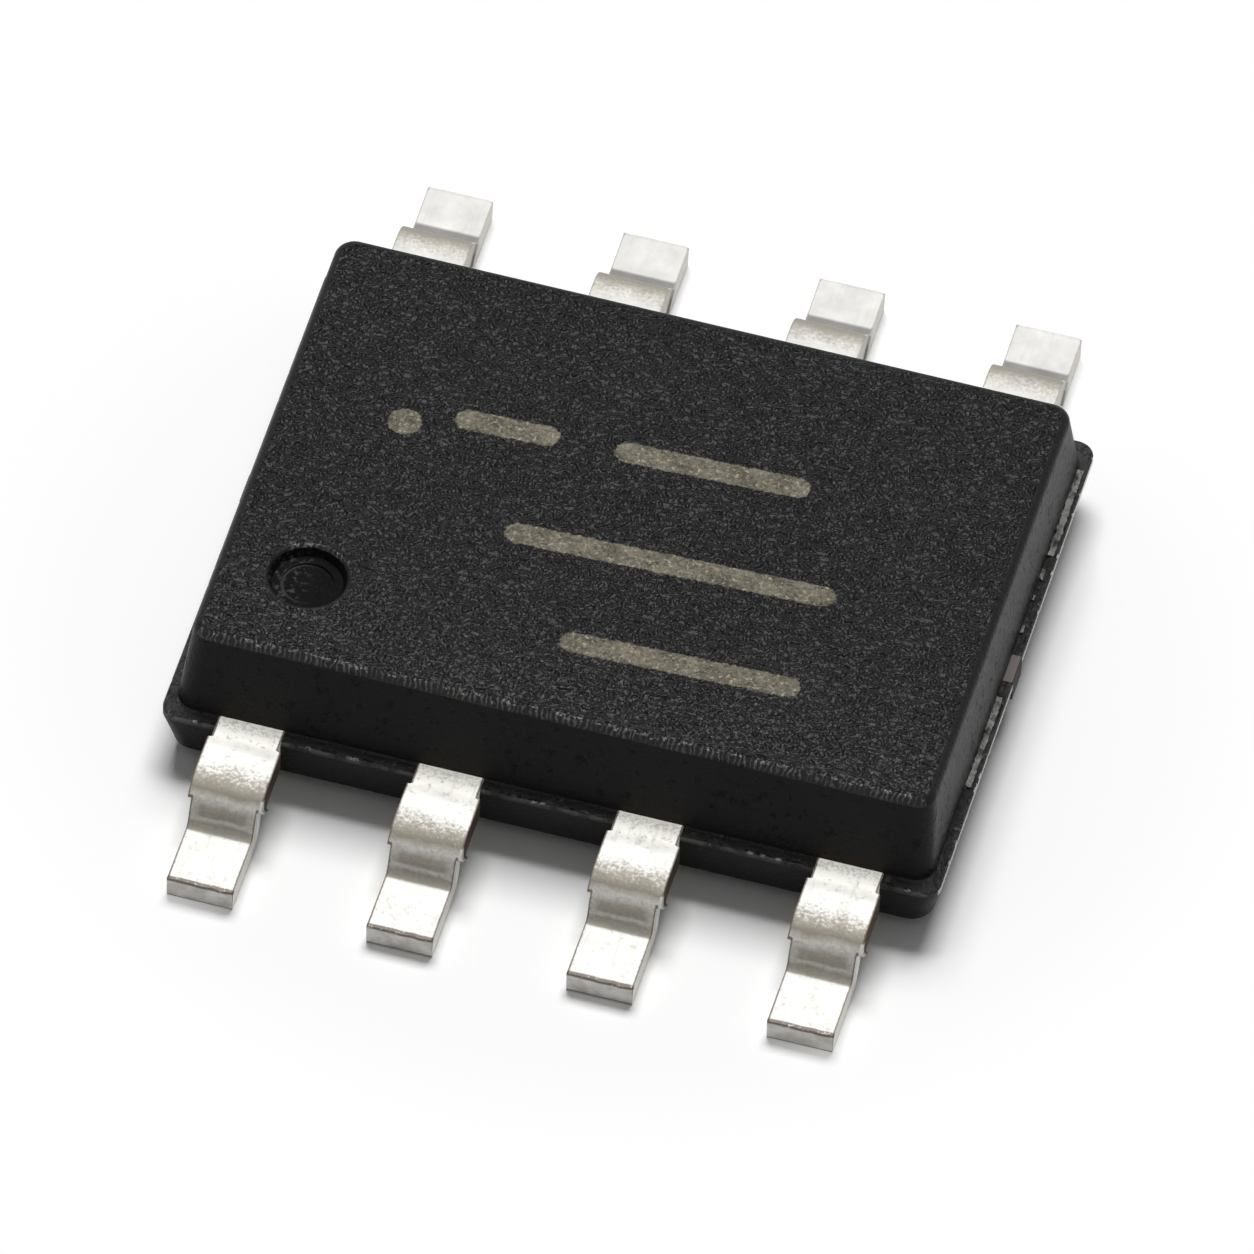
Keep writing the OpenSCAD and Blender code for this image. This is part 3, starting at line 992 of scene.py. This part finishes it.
def plating(net, out, colours):
    """Colour of the plating by its distance from the body's middle line: rubbing wear with painted light
    and shade.
    """
    first, last = LEAD_ZONES[0][0], LEAD_ZONES[-1][0]
    ramp = net.add("ShaderNodeValToRGB", {"Fac": net.share(out, first, last)})
    stops = ramp.color_ramp.elements
    for where, _ in LEAD_ZONES[1:-1]:
        stops.new((where - first) / (last - first))
    for stop, (_, brightness) in zip(stops, LEAD_ZONES):
        # Steps above 1 lighten the tin as painted light.
        painted_lift = 1 + NECK_LIGHT_GAIN * max(brightness - 1, 0)
        stop.color = tint(blended(colours.rubbed, colours.tin, min(brightness, 1)), painted_lift)
    return ramp.outputs["Color"]


def lead_sockets(net):
    """Sockets that tell where on a lead a spot is, which way it faces and how it is marked."""
    place = net.millimetres()
    x, y, z = net.split(place)
    facing = net.facing()
    along = net.along_pitch(x)
    far = net.fade(y, -0.5, 0.5)
    return SimpleNamespace(
        place=place,
        z=z,
        out=net.size(y),
        along=along,
        across=net.size(along),
        far=far,
        near=net.less(1.0, far),
        sideways=net.fade(net.size(facing[0]), 0.7, 0.9),
        endways=net.fade(net.size(facing[1]), 0.85, 0.95),
        rub=net.group("Rubbed metal", {"Vector": place, "Scratches per mm": 34.0, "Mottle per mm": 7.0}),
        grit=net.noise(place, 45.0, 3.0, 0.6),
    )


def dull_and_shaded_tin(colours):
    """Tin without its shine; on the far row it serves as painted shade."""
    return tint(colours.tin, 0.74)


def half_rubbed(colours):
    """Tin that is half rubbed."""
    return tint(blended(colours.rubbed, colours.tin, 0.5))


def formed_tin(net, at, colours):
    """Colour of the plating as the forming tool left it, with painted light and shade along the lead and
    painted shade on the far row's bend and heel.
    """
    sway = net.scaled(net.fade(at.out, *STEADY_SLOPE), -0.048, 0.06)
    stray = net.scaled(net.less(at.rub["Mottle"], 0.5), sway, at.out)
    stray = net.scaled(net.times(net.less(at.grit, 0.5), net.band(at.out, *BEND, 0.06)), 0.35, stray)
    base = plating(net, stray, colours)

    # Painted shade on the far row's shoulder bend, from dull tin by the body to darker tin towards its
    # horizon.
    far_bend_shade = net.mix(net.fade(stray, *FAR_BEND), dull_and_shaded_tin(colours), tint(colours.rubbed, 1.1))
    base = net.mix(net.times(at.far, net.fade(at.out, *FAR_SHOULDER), 0.85), base, far_bend_shade)
    # Painted shade: a grey band on the far row's feet behind the heel.
    far_heel_shade = net.times(net.band(at.out, *FAR_HEEL_SHADE, 0.04), at.far)
    base = net.mix(far_heel_shade, base, tint(colours.tin, 0.3))

    beside_lens = net.times(net.band(at.out, *LENS, 0.008), net.fade(at.across, 0.13, 0.18), 0.8)
    base = net.mix(beside_lens, base, half_rubbed(colours))
    gritty = net.times(net.band(at.out, *SLOPE, 0.02), net.fade(at.grit, 0.42, 0.62), 0.2)
    base = net.mix(gritty, base, tint(colours.rubbed, 0.6))
    specks = net.times(net.fade(net.noise(at.place, 28.0, 3.0, 0.7), 0.56, 0.68), 0.3)
    by_wall = net.times(net.band(at.out, *BY_WALL, 0.03), net.fade(at.grit, 0.45, 0.6), 0.22)
    marks = net.most(specks, net.times(at.rub["Scratch"], 0.1), by_wall)
    return net.mix(net.times(marks, net.scaled(at.near, 0.8, 0.2)), base, tint(colours.rubbed))


def cut_tin(net, at, lead, colours, base):
    """Colour of the plating with painted light on the side faces, worn edges, a sheared tip and cut stubs
    laid over it.
    """
    half = lead.lead_w / 2
    reach = (lead.dam_w - lead.lead_w) / 2
    past = net.less(at.across, net.scaled(net.band(at.out, *STUB, 0.004), reach, half))
    # Painted light: side faces are lightened towards brighter tin.
    base = net.mix(net.times(at.sideways, 0.75), base, tint(colours.tin, 1.35))
    worn = net.fade(net.scaled(at.grit, 0.008, past), -0.012, 0.0)
    base = net.mix(net.times(worn, net.scaled(at.sideways, -0.3, 0.6)), base, tint(colours.rubbed))
    edge = net.fade(net.scaled(at.grit, 0.01, past), -0.01, 0.0)
    edge = net.times(edge, at.near, net.less(0.65, net.times(at.sideways, 0.65)))
    base = net.mix(edge, base, tint(colours.bare))

    tip = net.times(net.fade(at.out, lead.tip_y - 0.02, lead.tip_y - 0.008), at.endways)
    torn = net.fade(at.rub["Mottle"], 0.35, 0.7)
    base = net.mix(tip, base, net.mix(torn, half_rubbed(colours), tint(colours.tin)))
    upper_edge = net.times(
        net.band(at.out, lead.tip_y - 0.018, lead.tip_y + 0.01, 0.012),
        net.fade(at.z, lead.sheet_t - 0.03, lead.sheet_t - 0.015),
        net.fade(at.grit, 0.25, 0.45),
    )
    sole_edge = net.times(net.fade(at.z, 0.018, 0.004), tip)
    torn_edge = net.times(net.most(upper_edge, sole_edge), net.scaled(at.near, 0.5, 0.3))
    base = net.mix(torn_edge, base, tint(colours.bare))

    stub_side = net.times(net.fade(at.across, half + 0.012, half + 0.02), at.sideways)
    base = net.mix(net.times(stub_side, at.near, net.fade(at.out, *BARE_STUB)), base, tint(colours.bare))
    burr = net.times(net.fade(at.along, half + 0.004, half + 0.01), net.band(at.out, *BURR, 0.01))
    return net.mix(net.times(burr, net.less(1.0, at.sideways)), base, dull_and_shaded_tin(colours))


def tin_material(lead, colours):
    """Matte tin plating: bright on the flats, rubbed grey on the bends, cut through at tip and stub; with
    painted light by the body and on the side faces, and painted shade on the slope, in the heel crease and
    on the far row.
    """
    material, net, shader = start_material("tin_plate", Metallic=1.0)
    at = lead_sockets(net)
    base = cut_tin(net, at, lead, colours, formed_tin(net, at, colours))
    # Painted shade: the far row's flats are darkened to dull tin.
    far_flats_shade = net.less(at.far, net.times(at.far, at.sideways))
    net.put(shader["Base Color"], net.mix(far_flats_shade, base, dull_and_shaded_tin(colours), "DARKEN"))
    rough = net.scaled(net.fade(at.out, *ROUGH_NECK), 0.25, 0.6)
    net.put(shader["Roughness"], net.scaled(at.rub["Mottle"], 0.2, rough))
    raised = net.scaled(at.rub["Scratch"], -0.6, net.times(at.grit, 0.5))
    net.put(shader["Normal"], net.bump(raised, 0.0015))
    return material


SHEET_SCRATCHES = 30.0
WIRE_SCRATCHES = 60.0
TIE_BAR_DULL_X = 2.38
NEVER_DULL_X = 10.0


def copper_material(name, colours, scratches, dull_from=NEVER_DULL_X):
    """Copper alloy with a bloom and rolling scratches, tarnished beyond a given distance along X."""
    material, net, shader = start_material(name, Metallic=1.0)
    place = net.millimetres()
    rub = net.group("Rubbed metal", {"Vector": place, "Scratches per mm": scratches})
    out = net.size(net.split(place)[0])
    dull = net.fade(out, dull_from - 0.02, dull_from)
    end_face = net.fade(out, dull_from + 0.085, dull_from + 0.094)
    bloom = net.shades(rub["Mottle"], colours.copper, 0.55, 1.0)
    net.put(shader["Base Color"], net.mix(dull, bloom, net.shades(end_face, colours.tarnish, 1.0, 0.2)))
    net.put(shader["Roughness"], net.most(net.scaled(rub["Mottle"], 0.3, 0.25), net.times(dull, 0.7)))
    net.put(shader["Normal"], net.bump(rub["Scratch"], 0.001))
    return material


def epoxy_material(colours):
    """Silver-filled epoxy, with flakes in it."""
    material, net, shader = start_material("attach_epoxy")
    cells = net.add("ShaderNodeTexVoronoi", {"Vector": net.millimetres(), "Scale": 50.0})
    flake = net.split(cells.outputs["Color"])[0]
    net.put(shader["Base Color"], net.shades(flake, colours.epoxy, 0.6, 1.0))
    net.put(shader["Metallic"], net.fade(flake, 0.5, 0.8))
    net.put(shader["Roughness"], net.scaled(flake, 0.3, 0.3))
    return material


def silicon_material(colours):
    """Silicon with blocks of fine metal tracks on it."""
    material, net, shader = start_material("silicon", Metallic=0.6)
    place = net.millimetres()
    greys = {"Color1": tint((0.2,) * 3), "Color2": tint((0.8,) * 3)}
    blocks = net.add("ShaderNodeTexBrick", {"Vector": place, "Scale": 6.0, "Mortar Size": 0.03, **greys})
    tracks = net.add("ShaderNodeTexWave", {"Vector": place, "Scale": 30.0}).outputs["Fac"]
    share = net.times(net.split(blocks.outputs["Color"])[0], tracks)
    net.put(shader["Base Color"], net.shades(share, colours.silicon, 1.0, 3.0))
    net.put(shader["Roughness"], net.scaled(tracks, 0.15, 0.12))
    return material


# Flakes of flash on the right end's ledge: start and end along Y, and width
FLAKES = (
    (-1.0, -0.25, 0.036),
    (0.95, 1.68, 0.04),
    (0.75, 0.83, 0.022),
    (0.57, 0.61, 0.014),
    (0.29, 0.35, 0.018),
)
FLAKE_RISE = 0.008
FLAKE_STRAY = 0.008
FLAKE_GRID = 0.025
# Chips along the front lip: half their length, how far in from the lip and how far up from the parting
# plane they start and end, and their places
CHIP_HALF = 0.018
CHIP_IN = (0.004, 0.02)
CHIP_UP = (-0.002, 0.006)
CHIP_X = (-2.24, -1.57, -1.52, -1.26, -1.22, -0.08, -0.03, 1.29, 1.37, 1.47, 2.29)


def model_flake(low, high, seed):
    """Adds a broken flake of flash to the open mesh, lying on the ledge."""
    middle = (low + high) / 2
    size = high - low
    columns, rows = (max(3, round(side / FLAKE_GRID)) for side in size.xy)
    bpy.ops.mesh.select_all(action="DESELECT")
    bpy.ops.mesh.primitive_grid_add(x_subdivisions=columns, y_subdivisions=rows, size=1, location=middle)
    scale_selected((size.x, size.y, 1), middle)
    roughen(FLAKE_STRAY, seed)
    extrude((0, 0, -size.z))


class CIRCUIT_OT_mould_body(bpy.types.Operator):
    """Model the moulded body and give its top, walls and rim their finishes"""

    bl_idname = "circuit.mould_body"
    bl_label = "Moulded body"

    def execute(self, context):
        body = context.scene.circuit_body
        lead = context.scene.circuit_lead
        colours = context.scene.circuit_colours
        make_pebble_group()
        make_bar_group()
        piece = model_body(body, lead)
        middle = dimple_middle(body)
        upper = body.parting_z + TINY
        edge_z = body.top_z - body.top_edge_r - TINY
        lip_z = body.top_z - LIP_SHARE * body.dimple_lip

        def on_top(face):
            return face.normal.z > FLAT and face.calc_center_median().z > edge_z

        def on_front_edge(face):
            spot = face.calc_center_median()
            forward = -face.normal.y > abs(face.normal.x) and LEANING < face.normal.z < FLAT
            return forward and spot.z > edge_z and not in_dimple(face)

        def in_dimple(face):
            spot = face.calc_center_median()
            inside = (spot - middle).xy.length < body.dimple_d / 2
            return inside and body.parting_z < spot.z < lip_z

        def on_rim_end(face):
            low = body.parting_z - body.rim_h
            return abs(face.normal.x) > SQUARE_ON and low < face.calc_center_median().z < body.parting_z

        give_material(piece, rim_material(body, colours), lambda face: True)
        give_material(piece, rim_highlight_material(colours), on_rim_end)
        give_material(piece, skin_material(body, colours), lambda face: face.calc_center_median().z > upper)
        give_material(piece, top_material(colours), on_top)
        give_material(piece, edge_material(body, colours), on_front_edge)
        give_material(piece, dimple_material(body, colours), in_dimple)
        finish_piece(piece)
        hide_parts("moulded_body")
        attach(piece, "root")
        return {"FINISHED"}


class CIRCUIT_OT_form_leads(bpy.types.Operator):
    """Model the leads, copy them to both rows and plate them"""

    bl_idname = "circuit.form_leads"
    bl_label = "Leads"

    def execute(self, context):
        body = context.scene.circuit_body
        lead = context.scene.circuit_lead
        make_scratch_group()
        tin = tin_material(lead, context.scene.circuit_colours)
        shifts = [lead.finger_shift] + [0] * (ROW - 2) + [-lead.finger_shift]
        models = {shift: model_lead(body, lead, shift) for shift in set(shifts)}
        for number in range(1, LEADS + 1):
            far = number > ROW
            place = LEADS - number if far else number - 1
            piece = place_lead(models[shifts[place]], f"formed_lead_{number}", place, far)
            piece.data.materials.append(tin)
            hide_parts(f"lead_{number}")
            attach(piece, "root")
        for model in models.values():
            bpy.data.objects.remove(model)
        return {"FINISHED"}


class CIRCUIT_OT_ledge_flash(bpy.types.Operator):
    """Model the flakes of flash that were left on the ledge"""

    bl_idname = "circuit.ledge_flash"
    bl_label = "Flash on the ledge"

    def execute(self, context):
        body = context.scene.circuit_body
        piece = start_mesh("ledge_flash")
        inner_x = body.body_l / 2 - body.end_ledge
        for seed, (start, end, width) in enumerate(FLAKES):
            low = Vector((inner_x, start, body.parting_z + FLAKE_RISE / 2))
            high = Vector((inner_x + width, end, body.parting_z + FLAKE_RISE * 1.5))
            model_flake(low, high, seed)
        lip_y = -body.body_w / 2
        for seed, x in enumerate(CHIP_X):
            low = Vector((x - CHIP_HALF, lip_y + CHIP_IN[0], body.parting_z + CHIP_UP[0]))
            high = Vector((x + CHIP_HALF, lip_y + CHIP_IN[1], body.parting_z + CHIP_UP[1]))
            model_flake(low, high, seed)
        leave_edit()
        piece.data.materials.append(flash_material(context.scene.circuit_colours))
        finish_piece(piece)
        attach(piece, "root")
        return {"FINISHED"}


class CIRCUIT_OT_inner_pieces(bpy.types.Operator):
    """Give the lead frame's paddle, the die, its attach layer and the wires their finishes"""

    bl_idname = "circuit.inner_pieces"
    bl_label = "Inner pieces"

    def execute(self, context):
        colours = context.scene.circuit_colours
        wire = copper_material("wire_copper", colours, WIRE_SCRATCHES)
        finishes = {
            "die_paddle": copper_material("frame_copper", colours, SHEET_SCRATCHES, TIE_BAR_DULL_X),
            "die_attach": epoxy_material(colours),
            "silicon_die": silicon_material(colours),
        }
        finishes.update({f"bond_wire_{number}": wire for number in range(1, LEADS + 1)})
        for node, material in finishes.items():
            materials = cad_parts[node].data.materials
            materials.clear()
            materials.append(material)
        return {"FINISHED"}


# The lamp's direction from the part, its distance and sizes, and the level that it lights a floor to
LAMP_DIRECTION = (-0.07, 0.42, 0.905)
LAMP_DISTANCE = 150
LAMP_SIZES = (85, 62)
LAMP_LEVEL = 0.87
FLOOR_SIZE = 1000
FLOOR_DROP = 0.002
# The floor keeps its shadow up to the first distance and is plain white from the second
SHADOW_REACH = (3.1, 4.4)
CLIP_START = 10


def add_lamp():
    """Adds an oblong lamp behind the part, which looks at the origin."""
    direction = Vector(LAMP_DIRECTION).normalized()
    bpy.ops.object.light_add(type="AREA", location=direction * LAMP_DISTANCE * MM)
    lamp = bpy.context.object
    lamp.name = "back_lamp"
    lamp.rotation_euler = direction.to_track_quat("Z", "Y").to_euler()
    lamp.data.shape = "RECTANGLE"
    lamp.data.size = LAMP_SIZES[0] * MM
    lamp.data.size_y = LAMP_SIZES[1] * MM
    lamp.data.energy = LAMP_LEVEL * (math.pi * LAMP_DISTANCE * MM) ** 2 / direction.z


def seen_share(net):
    """1 for rays from the camera, and for those that it sees in metal or glass."""
    path = net.add("ShaderNodeLightPath").outputs
    return net.most(path["Is Camera Ray"], path["Is Glossy Ray"], path["Is Transmission Ray"])


def add_floor():
    """Adds a white floor that keeps the shadow near the part and is plain white further out."""
    deselect_all()
    bpy.ops.mesh.primitive_plane_add(size=FLOOR_SIZE * MM, location=(0, 0, -FLOOR_DROP * MM))
    floor = bpy.context.object
    floor.name = "floor"
    material = bpy.data.materials.new("white_floor")
    material.use_nodes = True
    net = Wiring(material.node_tree)
    material.node_tree.nodes.remove(material.node_tree.nodes["Principled BSDF"])
    plain = net.times(net.fade(net.reach(net.millimetres()), *SHADOW_REACH), seen_share(net))
    lit = net.add("ShaderNodeBsdfDiffuse", {"Color": (1, 1, 1, 1)}).outputs[0]
    white = net.add("ShaderNodeEmission", {"Strength": 1.0}).outputs[0]
    mixed = net.add("ShaderNodeMixShader", {0: plain, 1: lit, 2: white}).outputs[0]
    net.put(material.node_tree.nodes["Material Output"].inputs["Surface"], mixed)
    floor.data.materials.append(material)


def add_world(stage):
    """Fills the world with even light, and with white where it is seen."""
    world = bpy.data.worlds.new("white_room")
    world.use_nodes = True
    net = Wiring(world.node_tree)
    background = world.node_tree.nodes["Background"]
    background.inputs["Color"].default_value = (1, 1, 1, 1)
    net.put(background.inputs["Strength"], net.scaled(seen_share(net), 1 - stage.ambient, stage.ambient))
    bpy.context.scene.world = world


def add_camera(stage):
    """Adds the camera, turned round the part and rolled, then slid along its own picture."""
    turn, rise, roll = stage.azimuth, stage.elevation, stage.roll
    right = Vector((math.cos(turn), math.sin(turn), 0))
    up = Vector((-math.sin(turn) * math.sin(rise), math.cos(turn) * math.sin(rise), math.cos(rise)))
    back = right.cross(up)
    across = math.cos(roll) * right - math.sin(roll) * up
    upward = math.sin(roll) * right + math.cos(roll) * up
    aim = Vector((0, 0, stage.aim_z))
    place = aim + back * stage.distance + across * stage.slide_x + upward * stage.slide_y
    bpy.ops.object.camera_add()
    camera = bpy.context.object
    axes = Matrix((across, upward, back)).transposed().to_4x4()
    camera.matrix_world = Matrix.Translation(place * MM) @ axes
    camera.data.lens = stage.lens
    camera.data.clip_start = CLIP_START * MM
    bpy.context.scene.camera = camera


class CIRCUIT_OT_set_stage(bpy.types.Operator):
    """Add the white floor, the lamp and the camera"""

    bl_idname = "circuit.set_stage"
    bl_label = "Stage"

    def execute(self, context):
        stage = context.scene.circuit_stage
        context.scene.view_settings.view_transform = "Standard"
        add_floor()
        add_world(stage)
        add_lamp()
        add_camera(stage)
        return {"FINISHED"}


GROUPS = {
    "circuit_body": CircuitBodySizes,
    "circuit_lead": CircuitLeadSizes,
    "circuit_colours": CircuitColours,
    "circuit_stage": CircuitStage,
}
OPERATORS = (
    CIRCUIT_OT_mould_body,
    CIRCUIT_OT_form_leads,
    CIRCUIT_OT_ledge_flash,
    CIRCUIT_OT_inner_pieces,
    CIRCUIT_OT_set_stage,
)


class VIEW3D_PT_circuit(bpy.types.Panel):
    """Sizes, colours and steps of the circuit"""

    bl_label = "Moulded circuit"
    bl_space_type = "VIEW_3D"
    bl_region_type = "UI"
    bl_category = "Circuit"

    def draw(self, context):
        for operator in OPERATORS:
            self.layout.operator(operator.bl_idname)
        for group in GROUPS:
            box = self.layout.box()
            values = getattr(context.scene, group)
            for name in values.bl_rna.properties.keys():
                if name not in ("rna_type", "name"):
                    box.prop(values, name)


CLASSES = (*GROUPS.values(), *OPERATORS, VIEW3D_PT_circuit)


def register():
    for cls in CLASSES:
        bpy.utils.register_class(cls)
    for name, group in GROUPS.items():
        setattr(bpy.types.Scene, name, bpy.props.PointerProperty(type=group))


def unregister():
    for name in GROUPS:
        delattr(bpy.types.Scene, name)
    for cls in reversed(CLASSES):
        bpy.utils.unregister_class(cls)


def main():
    register()
    bpy.ops.circuit.mould_body()
    bpy.ops.circuit.form_leads()
    bpy.ops.circuit.ledge_flash()
    bpy.ops.circuit.inner_pieces()
    bpy.ops.circuit.set_stage()


if __name__ == "__main__":
    main()
